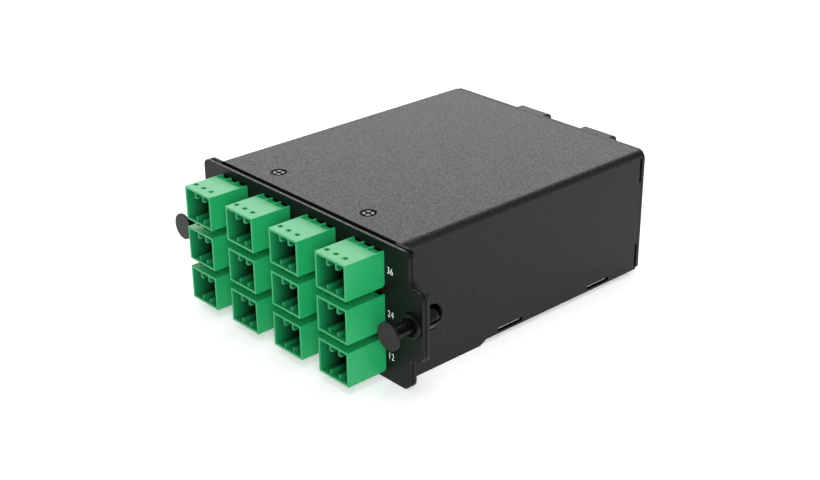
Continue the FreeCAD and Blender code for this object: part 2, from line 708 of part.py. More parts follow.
def make_harness(row, column):
    label = f"ribbon_harness_row{row}_column{column}"
    rear_x = value(hook_x(column))
    rear_height = value(rear_z(row))
    front_height = value(row_z(row))
    block_start = value("block_start")
    block_length = value("block_length")
    plug_back = value("plug_seat + plug_length")
    ribbon_back = value(f"{WALL_REAR} - rear_web / 2 - ribbon_plug_fit - ribbon_plug_length")
    targets = [value(column_x(2 * column - step)) for step in (1, 0)]
    centre_x = sum(targets) / 2
    block = Part.makeBox(value("block_width"), block_length, value("block_height"),
                         FreeCAD.Vector(centre_x - value("block_width") / 2, block_start,
                                        front_height - value("block_height") / 2))
    pieces = [ribbon_run(FreeCAD.Vector(centre_x, block_start + block_length, front_height),
                         FreeCAD.Vector(rear_x, ribbon_back, rear_height))]
    for target in targets:
        side = math.copysign(value("block_width") / 4, target - centre_x)
        pieces.append(ribbon_run(FreeCAD.Vector(target, plug_back, front_height),
                                 FreeCAD.Vector(centre_x + side, block_start, front_height)))
    harness = doc.addObject("Part::Feature", label)
    harness.Label = label
    harness.Shape = block.fuse(pieces).removeSplitter()
    keep(harness)


def make_group(label, master, places, half_turn=False):
    """Several equal loose pieces in one node, each placed from the sizes, facing back if half turned."""
    group = doc.addObject("Part::Compound", label)
    group.Label = label
    links = []
    for number, (x, y, z) in enumerate(places, start=1):
        link = doc.addObject("App::Link", f"{label}_{number}")
        link.LinkedObject = master
        link.LinkTransform = False
        if half_turn:
            link.Placement.Rotation = FreeCAD.Rotation(FreeCAD.Vector(0, 0, 1), 180)
        bind(link, "Placement.Base.x", x)
        bind(link, "Placement.Base.y", y)
        bind(link, "Placement.Base.z", z)
        links.append(link)
    group.Links = links
    keep(group)


make_front_plate()
make_base_tray()
make_cover()

adapter = make_adapter()
clip = make_clip()
plug = make_plug()
for row in ROW_NUMBERS:
    for column in COLUMN_NUMBERS:
        if (row, column) != (1, 1):
            keep_copy(adapter, f"adapter_row{row}_column{column}", column_x(column), "0", row_z(row))
        make_group(f"port_plugs_row{row}_column{column}", plug,
                   [(f"{column_x(column)} + {channel_x(channel)}", "0", row_z(row))
                    for channel in (-1, 0, 1)])
make_group("adapter_clips", clip,
           [(column_x(column), "0", row_z(row)) for row in ROW_NUMBERS for column in COLUMN_NUMBERS])

grommet = make_grommet()
keep_copy(grommet, "latch_grommet_right", LATCH_X, "0", MID_HEIGHT)
plunger = make_plunger()
keep_copy(plunger, "latch_plunger_right", LATCH_X, "0", MID_HEIGHT)

cover_screw = make_cover_screw()
make_group("cover_screws", cover_screw,
           [(f"{side} * screw_span / 2", "screw_setback", f"{BOX_TOP} - screw_sink")
            for side in SIDES.values()])

rear_adapter = make_rear_adapter()
ribbon_plug = make_ribbon_plug()
for row in ROW_NUMBERS:
    for column in REAR_COLUMN_NUMBERS:
        if (row, column) != (1, 1):
            place = (hook_x(column), WALL_REAR, rear_z(row))
            keep_copy(rear_adapter, f"rear_adapter_row{row}_column{column}", *place)
            keep_copy(ribbon_plug, f"ribbon_plug_row{row}_column{column}", *place)
        make_harness(row, column)

make_group("rear_adapter_clips", clip,
           [(hook_x(column), WALL_REAR, rear_z(row))
            for row in ROW_NUMBERS for column in REAR_COLUMN_NUMBERS], half_turn=True)

doc.recompute()
for item in doc.Objects:
    if "Invalid" in item.State or "Error" in item.State:
        raise RuntimeError(f"{item.Label} did not recompute")

os.makedirs("parts", exist_ok=True)
for label, item in kept.items():
    shape = Part.getShape(item)
    if shape.isNull() or not shape.isValid():
        raise RuntimeError(f"{label} has no valid shape")
    shape.exportStep(f"parts/{label}.step")
    print(f"{label}: {len(shape.Solids)} solid, {shape.Volume:.1f} mm3")
print(f"{len(kept)} sub-parts; the origin lies {value(HOME):.3f} mm behind the plate's front")
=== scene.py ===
# %% [markdown]
# # A fibre cassette
# The real thing is a slim box folded from thin sheet steel. Its front plate carries twelve green moulded
# adapters, and a push latch sits in each of its two ears. The box, the adapters and the latches come
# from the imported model. This script gives them their edges, finishes, printed numbers, light and camera.
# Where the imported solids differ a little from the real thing, it also moves corners of their copies.

import math

import bmesh
import bpy
from mathutils import Matrix, Quaternion, Vector


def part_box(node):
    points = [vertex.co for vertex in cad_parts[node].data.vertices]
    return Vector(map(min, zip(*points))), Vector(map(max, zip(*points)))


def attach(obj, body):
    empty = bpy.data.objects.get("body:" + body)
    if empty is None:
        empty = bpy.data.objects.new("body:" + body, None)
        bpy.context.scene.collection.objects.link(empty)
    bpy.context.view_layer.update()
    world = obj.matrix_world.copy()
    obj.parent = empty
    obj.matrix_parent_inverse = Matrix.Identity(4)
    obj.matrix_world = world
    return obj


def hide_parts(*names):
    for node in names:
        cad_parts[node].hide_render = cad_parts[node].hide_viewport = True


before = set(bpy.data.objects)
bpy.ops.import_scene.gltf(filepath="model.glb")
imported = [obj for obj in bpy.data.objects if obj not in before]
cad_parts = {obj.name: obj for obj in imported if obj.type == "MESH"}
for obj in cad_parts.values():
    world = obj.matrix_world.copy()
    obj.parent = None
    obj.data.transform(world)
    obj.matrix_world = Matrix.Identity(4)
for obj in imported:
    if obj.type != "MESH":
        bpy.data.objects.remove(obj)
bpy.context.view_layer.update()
MM = 0.001

# %% [markdown]
# ## Helpers for colours and nodes
# A designer reads colours as sRGB hex values, and a renderer works in linear light, so one function
# turns one into the other. A second function adds a shader node with its settings and its links in
# one call, which keeps every material below short enough to read.

# %% Colour and node helpers
def linear(hex_colour):
    """Linear RGBA of an sRGB hex colour."""
    parts = [int(hex_colour[start:start + 2], 16) / 255 for start in (1, 3, 5)]
    lin = [part / 12.92 if part <= 0.04045 else ((part + 0.055) / 1.055) ** 2.4 for part in parts]
    return (*lin, 1.0)


def add(tree, kind, settings=None, links=None):
    """Add a node; settings are attributes or input values, links join inputs to sockets."""
    node = tree.nodes.new(kind)
    for name, setting in (settings or {}).items():
        if isinstance(name, str) and hasattr(node, name):
            setattr(node, name, setting)
        else:
            node.inputs[name].default_value = setting
    for name, socket in (links or {}).items():
        tree.links.new(socket, node.inputs[name])
    return node


MIX_COLOUR_A, MIX_COLOUR_B, MIX_COLOUR_RESULT = 6, 7, 2


def blend(tree, dark, light, factor):
    """Colour between two hex colours by a factor socket; a mix node's colour sockets go by number."""
    mix = add(tree, "ShaderNodeMix",
              {"data_type": "RGBA", MIX_COLOUR_A: linear(dark), MIX_COLOUR_B: linear(light)},
              {"Factor": factor})
    return mix.outputs[MIX_COLOUR_RESULT]


def blend_to(tree, dark, light_socket, factor):
    """Colour between a dark hex colour and a colour socket."""
    mix = add(tree, "ShaderNodeMix", {"data_type": "RGBA", MIX_COLOUR_A: linear(dark)},
              {"Factor": factor, MIX_COLOUR_B: light_socket})
    return mix.outputs[MIX_COLOUR_RESULT]


def new_material(name):
    """An empty node material and its tree."""
    material = bpy.data.materials.new(name)
    material.use_nodes = True
    material.node_tree.nodes.clear()
    return material, material.node_tree


def per_metre(size_mm):
    """Scale of a pattern whose grain is this wide, for coordinates in metres."""
    return 1.0 / (size_mm * MM)


FINE_DETAIL, SOFT_DETAIL = 3.0, 2.0
print("mid grey in linear light:", [round(part, 3) for part in linear("#808080")])

# %% [markdown]
# ## Textured powder coat
# The box is steel sheet sprayed with dry powder and baked. The powder melts into tiny beads, so the
# dark grey film is matt and sparkles a little in strong light. The beads are some 0.2 mm wide, too fine
# for this render, so they are drawn at 0.45 mm. One noise drives their bumps, their tone and how much
# light each throws back. A wider one, the orange peel of every powder coat, is drawn 0.6 mm wide and
# changes only how much light the film mirrors, so it shows on the lid, where the light skims along.
# The lid was sprayed lying flat and took the most powder, and upright faces came out much smoother.

# %% Powder coat on the box
COAT_BEAD_MM = 0.45
COAT_PEEL_MM = 0.6
COAT_CLOUD_MM = 14.0
BEAD_NOISE_ROUGHNESS = 0.6
BEAD_HEIGHT_MM = 0.06
BEAD_SMOOTHER, BEAD_ROUGHER = 0.08, 0.1
CLOUD_SHARE = 0.25
DARK_AT, LIGHT_AT = 0.44, 0.82
MEAN_TONE = 0.62
PEEL_LOW, PEEL_HIGH = 0.35, 0.65
LEAST_GLEAM, MOST_GLEAM = 0.45, 1.55
LEANING, LYING = 0.2, 0.9
UPRIGHT_SHARE = 0.28
FILM_IOR = 1.5


def texture_share(tree):
    """Socket that is 1 on faces that lie flat and a small share on upright ones."""
    facing = add(tree, "ShaderNodeNewGeometry")
    parts = add(tree, "ShaderNodeSeparateXYZ", links={"Vector": facing.outputs["Normal"]})
    share = add(tree, "ShaderNodeMapRange",
                {"From Min": LEANING, "From Max": LYING, "To Min": UPRIGHT_SHARE},
                {"Value": parts.outputs["Z"]})
    return share.outputs["Result"]


def towards(tree, plain, rough, share):
    """Socket between a plain number and a rough socket."""
    mix = add(tree, "ShaderNodeMix", {"A": plain}, {"Factor": share, "B": rough})
    return mix.outputs["Result"]


def powder_coat(name, dark, light, roughness, bump, gleam):
    """Baked powder film: fine beads in relief and tone, orange peel in gleam, and faint clouds."""
    material, tree = new_material(name)
    place = add(tree, "ShaderNodeTexCoord")
    beads = add(tree, "ShaderNodeTexNoise",
                {"Scale": per_metre(COAT_BEAD_MM), "Detail": FINE_DETAIL,
                 "Roughness": BEAD_NOISE_ROUGHNESS},
                {"Vector": place.outputs["Object"]})
    clouds = add(tree, "ShaderNodeTexNoise",
                 {"Scale": per_metre(COAT_CLOUD_MM), "Detail": SOFT_DETAIL},
                 {"Vector": place.outputs["Object"]})
    both = add(tree, "ShaderNodeMath", {"operation": "MULTIPLY_ADD", 1: CLOUD_SHARE},
               {0: clouds.outputs["Fac"], 2: beads.outputs["Fac"]})
    share = texture_share(tree)
    tone = add(tree, "ShaderNodeValToRGB",
               links={"Fac": towards(tree, MEAN_TONE, both.outputs["Value"], share)})
    tone.color_ramp.elements[0].position = DARK_AT
    tone.color_ramp.elements[0].color = linear(dark)
    tone.color_ramp.elements[1].position = LIGHT_AT
    tone.color_ramp.elements[1].color = linear(light)
    strength = add(tree, "ShaderNodeMath", {"operation": "MULTIPLY", 1: bump}, {0: share})
    relief = add(tree, "ShaderNodeBump", {"Distance": BEAD_HEIGHT_MM * MM},
                 {"Height": beads.outputs["Fac"], "Strength": strength.outputs["Value"]})
    shine = add(tree, "ShaderNodeMapRange",
                {"To Min": roughness - BEAD_SMOOTHER, "To Max": roughness + BEAD_ROUGHER},
                {"Value": beads.outputs["Fac"]})
    peel = add(tree, "ShaderNodeTexNoise", {"Scale": per_metre(COAT_PEEL_MM), "Detail": FINE_DETAIL},
               {"Vector": place.outputs["Object"]})
    mirror = add(tree, "ShaderNodeMapRange",
                 {"From Min": PEEL_LOW, "From Max": PEEL_HIGH,
                  "To Min": gleam * LEAST_GLEAM, "To Max": gleam * MOST_GLEAM},
                 {"Value": peel.outputs["Fac"]})
    surface = add(tree, "ShaderNodeBsdfPrincipled", {"IOR": FILM_IOR},
                  {"Base Color": tone.outputs["Color"], "Roughness": shine.outputs["Result"],
                   "Specular IOR Level": towards(tree, gleam, mirror.outputs["Result"], share),
                   "Normal": relief.outputs["Normal"]})
    add(tree, "ShaderNodeOutputMaterial", links={"Surface": surface.outputs["BSDF"]})
    return material


box_coat = powder_coat("powder_coated_steel_box", "#0d0d0e", "#18181a",
                       roughness=0.5, bump=0.3, gleam=0.27)
plate_coat = powder_coat("powder_coated_steel_plate", "#080a09", "#161918",
                         roughness=0.42, bump=0.4, gleam=0.17)
print("coats:", box_coat.name, plate_coat.name)

# %% [markdown]
# ## Green moulded plastic
# The adapters are injection moulded in a glass-filled polyester. The mould was spark eroded, so the
# skin is a soft satin with a very fine grain, and thin rims let a little light through. Deep in a port
# the tone is painted darker with the depth, a painted shade for light lost between the coloured walls.

# %% Green adapter plastic
GRAIN_MM = 0.3
GRAIN_HEIGHT_MM = 0.03
GRAIN_STRENGTH = 0.25
GRAIN_SMOOTHER, GRAIN_ROUGHER = 0.05, 0.06
FLOW_MM = 5.0
LIGHT_REACH_MM = 0.6
PLASTIC_IOR = 1.5
DEPTH_MM = 8.5
DEPTH_START = 0.86
DEPTH_CURVE = 1.6


def painted_shade_fade(tree, place):
    """Share of the plain tone against the painted shade: 1 at the ports' mouths, 0 some millimetres
    inside.
    """
    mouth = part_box("adapter_row1_column1")[0].y
    along = add(tree, "ShaderNodeSeparateXYZ", links={"Vector": place.outputs["Object"]})
    share = add(tree, "ShaderNodeMapRange",
                {"From Min": mouth, "From Max": mouth + DEPTH_MM * MM,
                 "To Min": DEPTH_START, "To Max": 0.0},
                {"Value": along.outputs["Y"]})
    return add(tree, "ShaderNodeMath", {"operation": "POWER", 1: DEPTH_CURVE},
               {0: share.outputs["Result"]}).outputs["Value"]


def moulded_plastic(name, dark, light, roughness, glow=0.0, gleam=0.5, painted_shade_colour=None):
    """Satin moulded plastic: fine mould grain, faint flow tone, optional light inside thin walls, optional
    painted shade deep in the ports.
    """
    material, tree = new_material(name)
    place = add(tree, "ShaderNodeTexCoord")
    grain = add(tree, "ShaderNodeTexNoise", {"Scale": per_metre(GRAIN_MM), "Detail": SOFT_DETAIL},
                {"Vector": place.outputs["Object"]})
    flow = add(tree, "ShaderNodeTexNoise", {"Scale": per_metre(FLOW_MM), "Detail": SOFT_DETAIL},
               {"Vector": place.outputs["Object"]})
    tone = blend(tree, dark, light, flow.outputs["Fac"])
    # Painted shade: deeper in a port the tone is darkened towards the given colour.
    if painted_shade_colour:
        tone = blend_to(tree, painted_shade_colour, tone, painted_shade_fade(tree, place))
    relief = add(tree, "ShaderNodeBump", {"Strength": GRAIN_STRENGTH, "Distance": GRAIN_HEIGHT_MM * MM},
                 {"Height": grain.outputs["Fac"]})
    shine = add(tree, "ShaderNodeMapRange",
                {"To Min": roughness - GRAIN_SMOOTHER, "To Max": roughness + GRAIN_ROUGHER},
                {"Value": grain.outputs["Fac"]})
    surface = add(tree, "ShaderNodeBsdfPrincipled",
                  {"IOR": PLASTIC_IOR, "Subsurface Weight": glow, "Subsurface Scale": LIGHT_REACH_MM * MM,
                   "Specular IOR Level": gleam},
                  {"Base Color": tone, "Roughness": shine.outputs["Result"],
                   "Normal": relief.outputs["Normal"]})
    add(tree, "ShaderNodeOutputMaterial", links={"Surface": surface.outputs["BSDF"]})
    return material


green_plastic = moulded_plastic("moulded_green_polyester", "#189c59", "#23a864",
                                roughness=0.42, glow=0.05, gleam=0.42)
# The same green with painted shade, darker deeper in the ports.
green_with_painted_shade = moulded_plastic("moulded_green_polyester_with_painted_shade", "#169a58", "#21a563",
                              roughness=0.42, gleam=0.4, painted_shade_colour="#020f07")
print("green plastics:", green_plastic.name, green_with_painted_shade.name)

# %% [markdown]
# ## Black plastics and painted shade
# The latches are moulded in nylon, which slides well and comes out nearly black with a dull shine. The
# rear adapters are a dark glass-filled polyester and the plugs a greenish black one. The same function
# makes them all. It also makes a matt black with no shine at all, painted shade on the tray under the
# cover.

# %% Black plastics and painted shade
black_nylon = moulded_plastic("moulded_black_nylon", "#070708", "#0e0e10", roughness=0.36, gleam=0.25)
black_plastic = moulded_plastic("moulded_black_polyester", "#19191a", "#232324", roughness=0.45)
# Painted shade: matt black for the tray's walls that the cover hides.
painted_shade_black = moulded_plastic("matt_black_painted_shade", "#040404", "#070707", roughness=0.9, gleam=0.0)
plug_plastic = moulded_plastic("moulded_dark_plug_plastic", "#0b0e0c", "#121713", roughness=0.5)
print("dark finishes:", black_nylon.name, black_plastic.name, painted_shade_black.name, plug_plastic.name)

# %% [markdown]
# ## Small metal parts and the ribbon
# The screws are steel with a black oxide skin: a metal, dark and fairly smooth. A darker, duller steel
# is painted shade in recesses, countersinks, slot edges and gaps. The clips are bright rolled spring steel
# with faint lines along the rolling direction. The fibre ribbon has a soft jacket, so it is a plastic
# here.

# %% Metal and ribbon
LINE_MM = 0.15
LINE_STRETCH = 0.05
LINE_SPREAD = 0.08


def drawn_metal(name, dark, light, roughness):
    """Metal with fine lines along its length, and the default index of refraction."""
    material, tree = new_material(name)
    place = add(tree, "ShaderNodeTexCoord")
    stretch = add(tree, "ShaderNodeMapping", {"Scale": (1.0, LINE_STRETCH, 1.0)},
                  {"Vector": place.outputs["Object"]})
    lines = add(tree, "ShaderNodeTexNoise", {"Scale": per_metre(LINE_MM), "Detail": FINE_DETAIL},
                {"Vector": stretch.outputs["Vector"]})
    tone = blend(tree, dark, light, lines.outputs["Fac"])
    shine = add(tree, "ShaderNodeMapRange",
                {"To Min": roughness - LINE_SPREAD, "To Max": roughness + LINE_SPREAD},
                {"Value": lines.outputs["Fac"]})
    surface = add(tree, "ShaderNodeBsdfPrincipled", {"Metallic": 1.0},
                  {"Base Color": tone, "Roughness": shine.outputs["Result"]})
    add(tree, "ShaderNodeOutputMaterial", links={"Surface": surface.outputs["BSDF"]})
    return material


black_oxide = drawn_metal("black_oxide_steel", "#39393b", "#5c5c60", roughness=0.34)
# Painted shade: a dark dull steel for recesses, countersinks, slot edges and the flange top.
painted_shade_steel = drawn_metal("dark_steel_painted_shade", "#0a0a0b", "#131315", roughness=0.6)
spring_steel = drawn_metal("rolled_spring_steel", "#7b7b78", "#9a9a96", roughness=0.42)
ribbon_jacket = moulded_plastic("soft_ribbon_jacket", "#2f8f9a", "#3aa4b0", roughness=0.5)
print("metals:", black_oxide.name, painted_shade_steel.name, spring_steel.name, "and", ribbon_jacket.name)

# %% [markdown]
# ## Finishing the solids
# A folded or moulded edge is never perfectly sharp: it is rounded by a tenth of a millimetre or more,
# and that small round catches the light. The solid itself is kept as it is. Each outer one is copied,
# its doubled corner points are joined, and a bevel modifier rounds every sharp edge, which is quicker
# and more even than rounding edges by hand. The copy then stands for the solid, in the same place.

# %% Rounded copies of the solids
BEVEL_SEGMENTS = 2
BEVEL_ANGLE = math.radians(35)
COPLANAR = math.radians(0.5)
FLAT_FACES_WEIGH = 100
JOIN_MM = 0.001


def rounded_copy(node, material, body, bevel_mm, reshape=None):
    """Stand a copy with rounded edges in for a node; reshape may change its corners first."""
    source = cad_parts[node]
    mesh = source.data.copy()
    mesh.materials.clear()
    mesh.materials.append(material)
    shell = bmesh.new()
    shell.from_mesh(mesh)
    bmesh.ops.remove_doubles(shell, verts=shell.verts, dist=JOIN_MM * MM)
    bmesh.ops.dissolve_limit(shell, angle_limit=COPLANAR, verts=shell.verts, edges=shell.edges)
    if reshape:
        reshape(shell)
        bmesh.ops.remove_doubles(shell, verts=shell.verts, dist=JOIN_MM * MM)
    shell.to_mesh(mesh)
    shell.free()
    piece = bpy.data.objects.new(f"{node}_finished", mesh)
    bpy.context.scene.collection.objects.link(piece)
    bevel = piece.modifiers.new("edge", "BEVEL")
    bevel.width = bevel_mm * MM
    bevel.segments = BEVEL_SEGMENTS
    bevel.limit_method = "ANGLE"
    bevel.angle_limit = BEVEL_ANGLE
    bevel.use_clamp_overlap = True
    for polygon in mesh.polygons:
        polygon.use_smooth = True
    flats = piece.modifiers.new("flat faces stay flat", "WEIGHTED_NORMAL")
    flats.mode = "FACE_AREA"
    flats.weight = FLAT_FACES_WEIGH
    apply_modifiers(piece)
    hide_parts(node)
    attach(piece, body)
    return piece


def apply_modifiers(piece):
    """Swap a piece's mesh for the one that its modifiers give."""
    graph = bpy.context.evaluated_depsgraph_get()
    final = bpy.data.meshes.new_from_object(piece.evaluated_get(graph))
    piece.modifiers.clear()
    piece.data = final


def recolour(piece, material, chosen):
    """Give the faces that chosen(centre, normal) picks a second material."""
    piece.data.materials.append(material)
    picked = [polygon for polygon in piece.data.polygons if chosen(polygon.center, polygon.normal)]
    for polygon in picked:
        polygon.material_index = len(piece.data.materials) - 1
    return len(picked)


print("edges sharper than", round(math.degrees(BEVEL_ANGLE)), "degrees are rounded")

# %% [markdown]
# ## Corners moved on the copies
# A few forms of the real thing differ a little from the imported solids. They could be cut anew with
# booleans, but the solids have a corner wherever one is needed, so corners of the copies move instead,
# by up to 2.3 mm. A corner is known by its place, to within a few hundredths of a millimetre. On each
# adapter's top edge, four thin fins stand beside and between three wide notches, close to the plate.

# %% Adapter corners
CLOSE_MM = 0.03
NOTCH_EDGES_MM = {-5.95: -5.9, -2.85: -2.37, -2.05: -1.77, 1.05: 1.77, 1.85: 2.37, 4.95: 5.9}
NOTCH_LENGTH_MM = 2.7
NOTCH_FLOOR_MM, FIN_FOOT_MM = 3.74, 4.6
HEAD_HALF_MM = 5.44
OLD_CHAMFER_MM, NEW_CHAMFER_MM = 1.0, 0.7

plate_low, plate_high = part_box("front_plate")
cover_low, cover_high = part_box("cover")
tray_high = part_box("base_tray")[1]


def close(length, millimetres):
    """True where a length in metres is this many millimetres, give or take a little."""
    return abs(length - millimetres * MM) < CLOSE_MM * MM


def shape_adapter(node):
    """Turn the notches at the plate into three wide ones with four thin fins, and trim the chamfers."""
    low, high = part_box(node)
    middle = Vector(((low.x + high.x) / 2, plate_low.y, (low.z + high.z) / 2))

    def reshape(shell):
        for corner in shell.verts:
            across, back, up = corner.co - middle
            on_face = close(back, 0)
            at_notch = (up > (NOTCH_FLOOR_MM - CLOSE_MM) * MM
                        and -(NOTCH_LENGTH_MM + CLOSE_MM) * MM < back < CLOSE_MM * MM)
            if at_notch:
                across = next((new * MM for old, new in NOTCH_EDGES_MM.items() if close(across, old)),
                              across)
                if close(up, NOTCH_FLOOR_MM):
                    up = FIN_FOOT_MM * MM
                elif on_face and close(up, HEAD_HALF_MM - OLD_CHAMFER_MM):
                    up = HEAD_HALF_MM * MM
            elif on_face and close(up, OLD_CHAMFER_MM - HEAD_HALF_MM):
                up = (NEW_CHAMFER_MM - HEAD_HALF_MM) * MM
            elif close(up, -HEAD_HALF_MM) and close(back, -OLD_CHAMFER_MM):
                back = -NEW_CHAMFER_MM * MM
            corner.co = middle + Vector((across, back, up))
    return reshape


print("notch edges moved on each adapter:", len(NOTCH_EDGES_MM))

# %% [markdown]
# ## Corners of the latches
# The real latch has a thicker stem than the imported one, and so a wider bore and nose around it. A round
# form grows when its corners are scaled away from its long axis, and it stays round.

# %% Latch corners
def scale_around(node, steps):
    """Scale corners around a node's long axis; steps give (up to this radius, by this share)."""
    low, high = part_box(node)
    middle = Vector(((low.x + high.x) / 2, (low.z + high.z) / 2))

    def move(corner):
        from_axis = Vector((corner.co.x, corner.co.z)) - middle
        share = next((share for radius, share in steps if from_axis.length < radius * MM), 1.0)
        corner.co.x, corner.co.z = middle + from_axis * share
    return move


DISC_MM, THINNER_DISC_MM = 1.1, 0.8
STEM_STEPS = [(1.9, 2.25 / 1.75)]
BORE_STEPS = [(1.85, 2.3 / 1.8), (2.45, 2.8 / 2.35)]


def shape_plunger(node):
    """Thicken the stem and thin the disc."""
    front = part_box(node)[0].y
    move = scale_around(node, STEM_STEPS)

    def reshape(shell):
        for corner in shell.verts:
            if corner.co.y > front + (DISC_MM - CLOSE_MM) * MM:
                move(corner)
            if close(corner.co.y - front, DISC_MM):
                corner.co.y = front + THINNER_DISC_MM * MM
    return reshape


def shape_grommet(node):
    """Widen the bore and the nose around the thicker stem."""
    move = scale_around(node, BORE_STEPS)

    def reshape(shell):
        for corner in shell.verts:
            move(corner)
    return reshape


print("stem drawn thicker by", round(STEM_STEPS[0][1], 3))

# %% [markdown]
# ## Corners of the sheets
# The rear hooks reach further back, the rear wall's feet reach lower, and the plate is a little
# thinner. The two screws sit further left in the lid, and each side's rear slot is nearer the middle.

# %% Tray, plate and cover corners
HOOK_REACH_MM, HOOK_LONGER_MM = 3.7, 0.6
HOOK_ZONE_MM = 1.0
WALL_SHEET_MM = 1.2
FOOT_MOVES_MM = {(43.0, 3.9): (43.0, 2.2), (42.0, 2.9): (42.5, 1.7)}


def shape_tray(shell):
    """Lengthen the hooks and lower the rear wall's feet."""
    wall_rear = tray_high.y - HOOK_REACH_MM * MM
    for corner in shell.verts:
        if corner.co.y > wall_rear + HOOK_ZONE_MM * MM:
            corner.co.y += HOOK_LONGER_MM * MM
        elif corner.co.y > wall_rear - (WALL_SHEET_MM + CLOSE_MM) * MM:
            for (half, up), (new_half, new_up) in FOOT_MOVES_MM.items():
                if close(abs(corner.co.x), half) and close(corner.co.z - plate_low.z, up):
                    corner.co.x = math.copysign(new_half * MM, corner.co.x)
                    corner.co.z = plate_low.z + new_up * MM
                    break


PLATE_THINNER_MM = 0.25
EDGE_THINNER_MM = 0.5


def shape_plate(shell):
    """Bring the rear face forward, and the upper edge a little more."""
    for corner in shell.verts:
        if close(corner.co.y - plate_high.y, 0):
            at_top = close(corner.co.z - plate_high.z, 0)
            corner.co.y -= (EDGE_THINNER_MM if at_top else PLATE_THINNER_MM) * MM


SCREWS_LEFT = Vector((-1.2 * MM, 0.0))
HOLE_ZONE_MM = 2.9
REAR_SLOT_MM = {82.3: 80.2, 92.7: 90.4}
SLOT_ZONE_MM = 6.0

screws_low, screws_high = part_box("cover_screws")
head_radius = (screws_high.y - screws_low.y) / 2
old_axes = [Vector((screws_low.x + head_radius, screws_low.y + head_radius)),
            Vector((screws_high.x - head_radius, screws_low.y + head_radius))]


def nearest(axes, point):
    """The screw axis that lies nearest to a point, seen from above."""
    return min(axes, key=lambda axis: (point.xy - axis).length)


def shape_cover(shell):
    """Move the two screw holes and the rear tab slots."""
    for corner in shell.verts:
        if (corner.co.xy - nearest(old_axes, corner.co)).length < HOLE_ZONE_MM * MM:
            corner.co.xy += SCREWS_LEFT
        elif corner.co.z < cover_low.z + SLOT_ZONE_MM * MM:
            back = corner.co.y - plate_low.y
            corner.co.y += sum((new - old) * MM for old, new in REAR_SLOT_MM.items() if close(back, old))


print("screws moved by", [round(part / MM, 1) for part in SCREWS_LEFT], "mm")

# %% [markdown]
# ## The outer pieces
# How round an edge is follows from how it was made. Sheared sheet stays sharp, and the plate is tumbled
# after it is stamped, so its edge is rounder. A moulding takes the round of its mould, and the plungers
# and grommets, made to slide past each other, get more of it than the adapters.

# %% Box, plate, adapters and latches
SHEET_EDGE_MM = 0.06
PLATE_EDGE_MM = 0.2
ADAPTER_EDGE_MM = 0.1
REAR_ADAPTER_EDGE_MM = 0.15
PLUNGER_EDGE_MM = 0.2
GROMMET_EDGE_MM = 0.15


def finish_nodes(names, material, body, bevel_mm, shape=None):
    """Round the edges of several nodes that share one finish."""
    pieces = [rounded_copy(name, material, body, bevel_mm, shape and shape(name)) for name in names]
    triangles = sum(len(polygon.vertices) - 2 for piece in pieces for polygon in piece.data.polygons)
    print(f"{len(pieces)} x {material.name}: {triangles} triangles")
    return pieces


def numbered(prefix):
    """Names of the nodes that start alike, in order."""
    return sorted(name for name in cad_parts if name.startswith(prefix))


tray = rounded_copy("base_tray", box_coat, "root", SHEET_EDGE_MM, shape_tray)
cover = rounded_copy("cover", box_coat, "root", SHEET_EDGE_MM, shape_cover)
rounded_copy("front_plate", plate_coat, "root", PLATE_EDGE_MM, shape_plate)
adapters = finish_nodes(numbered("adapter_row"), green_plastic, "root",
                        ADAPTER_EDGE_MM, shape_adapter)
finish_nodes(numbered("rear_adapter_row"), black_plastic, "root", REAR_ADAPTER_EDGE_MM)
for side in ("left", "right"):
    finish_nodes([f"latch_plunger_{side}"], black_nylon, f"plunger_{side}",
                 PLUNGER_EDGE_MM, shape_plunger)
    finish_nodes([f"latch_grommet_{side}"], black_nylon, "root",
                 GROMMET_EDGE_MM, shape_grommet)

# %% [markdown]
# ## Insides of the ports
# The green with the painted shade, darker with the depth, belongs on the walls inside the ports and
# nowhere else. Faces could be picked by hand, but a rule does for all twelve adapters: a face whose centre
# lies well within the adapter's outline, behind its rim and in front of its notches, is a wall of a port.

# %% Port walls
WALL_MM = 0.6
RIM_MM = 0.3


def inside_port(node):
    """Rule that picks the faces inside an adapter's outline."""
    low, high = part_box(node)
    edge = WALL_MM * MM

    def chosen(centre, normal):
        return (low.x + edge < centre.x < high.x - edge and low.z + edge < centre.z < high.z - edge
                and low.y + RIM_MM * MM < centre.y < plate_low.y - (NOTCH_LENGTH_MM + CLOSE_MM) * MM)
    return chosen


# The port walls get the green with painted shade.
inner = sum(recolour(piece, green_with_painted_shade, inside_port(node))
            for piece, node in zip(adapters, numbered("adapter_row")))
print("faces inside the ports:", inner)

# %% [markdown]
# ## Screws and painted shade at the edges
# The screws' cross recesses are stamped deep and painted darker as painted shade, and the heads lie almost
# level with the lid, a little smaller than their countersinks. The countersinks, the edges of the cover's
# slots and the top of the tray's front flange get a dark dull steel: painted shade where they fall dark.
# Where the cover hides the tray, the tray is matt black, painted shade for the walls seen through the
# slots. The packed pieces stay whole: single faces of the copies get a second material.

# %% Screws, countersinks and slot edges
HEAD_SHARE = 0.86
HEAD_RAISED_MM = 0.38
RECESS_REACH_MM = 1.2
RECESS_DEPTH_MM = 0.6
RECESS_WIDER = 1.45
SEAT_REACH_MM = 2.75
SQUARE_ON = 0.99
SKIN_MM = 1.3
SHEET_MM = 1.0
FLANGE_MM = 1.5
BEND_MM = 2.3
TOP_ZONE_MM = 1.0
UPWARDS = 0.3
UNDERSIDE = -0.9

axes = [axis + SCREWS_LEFT for axis in old_axes]


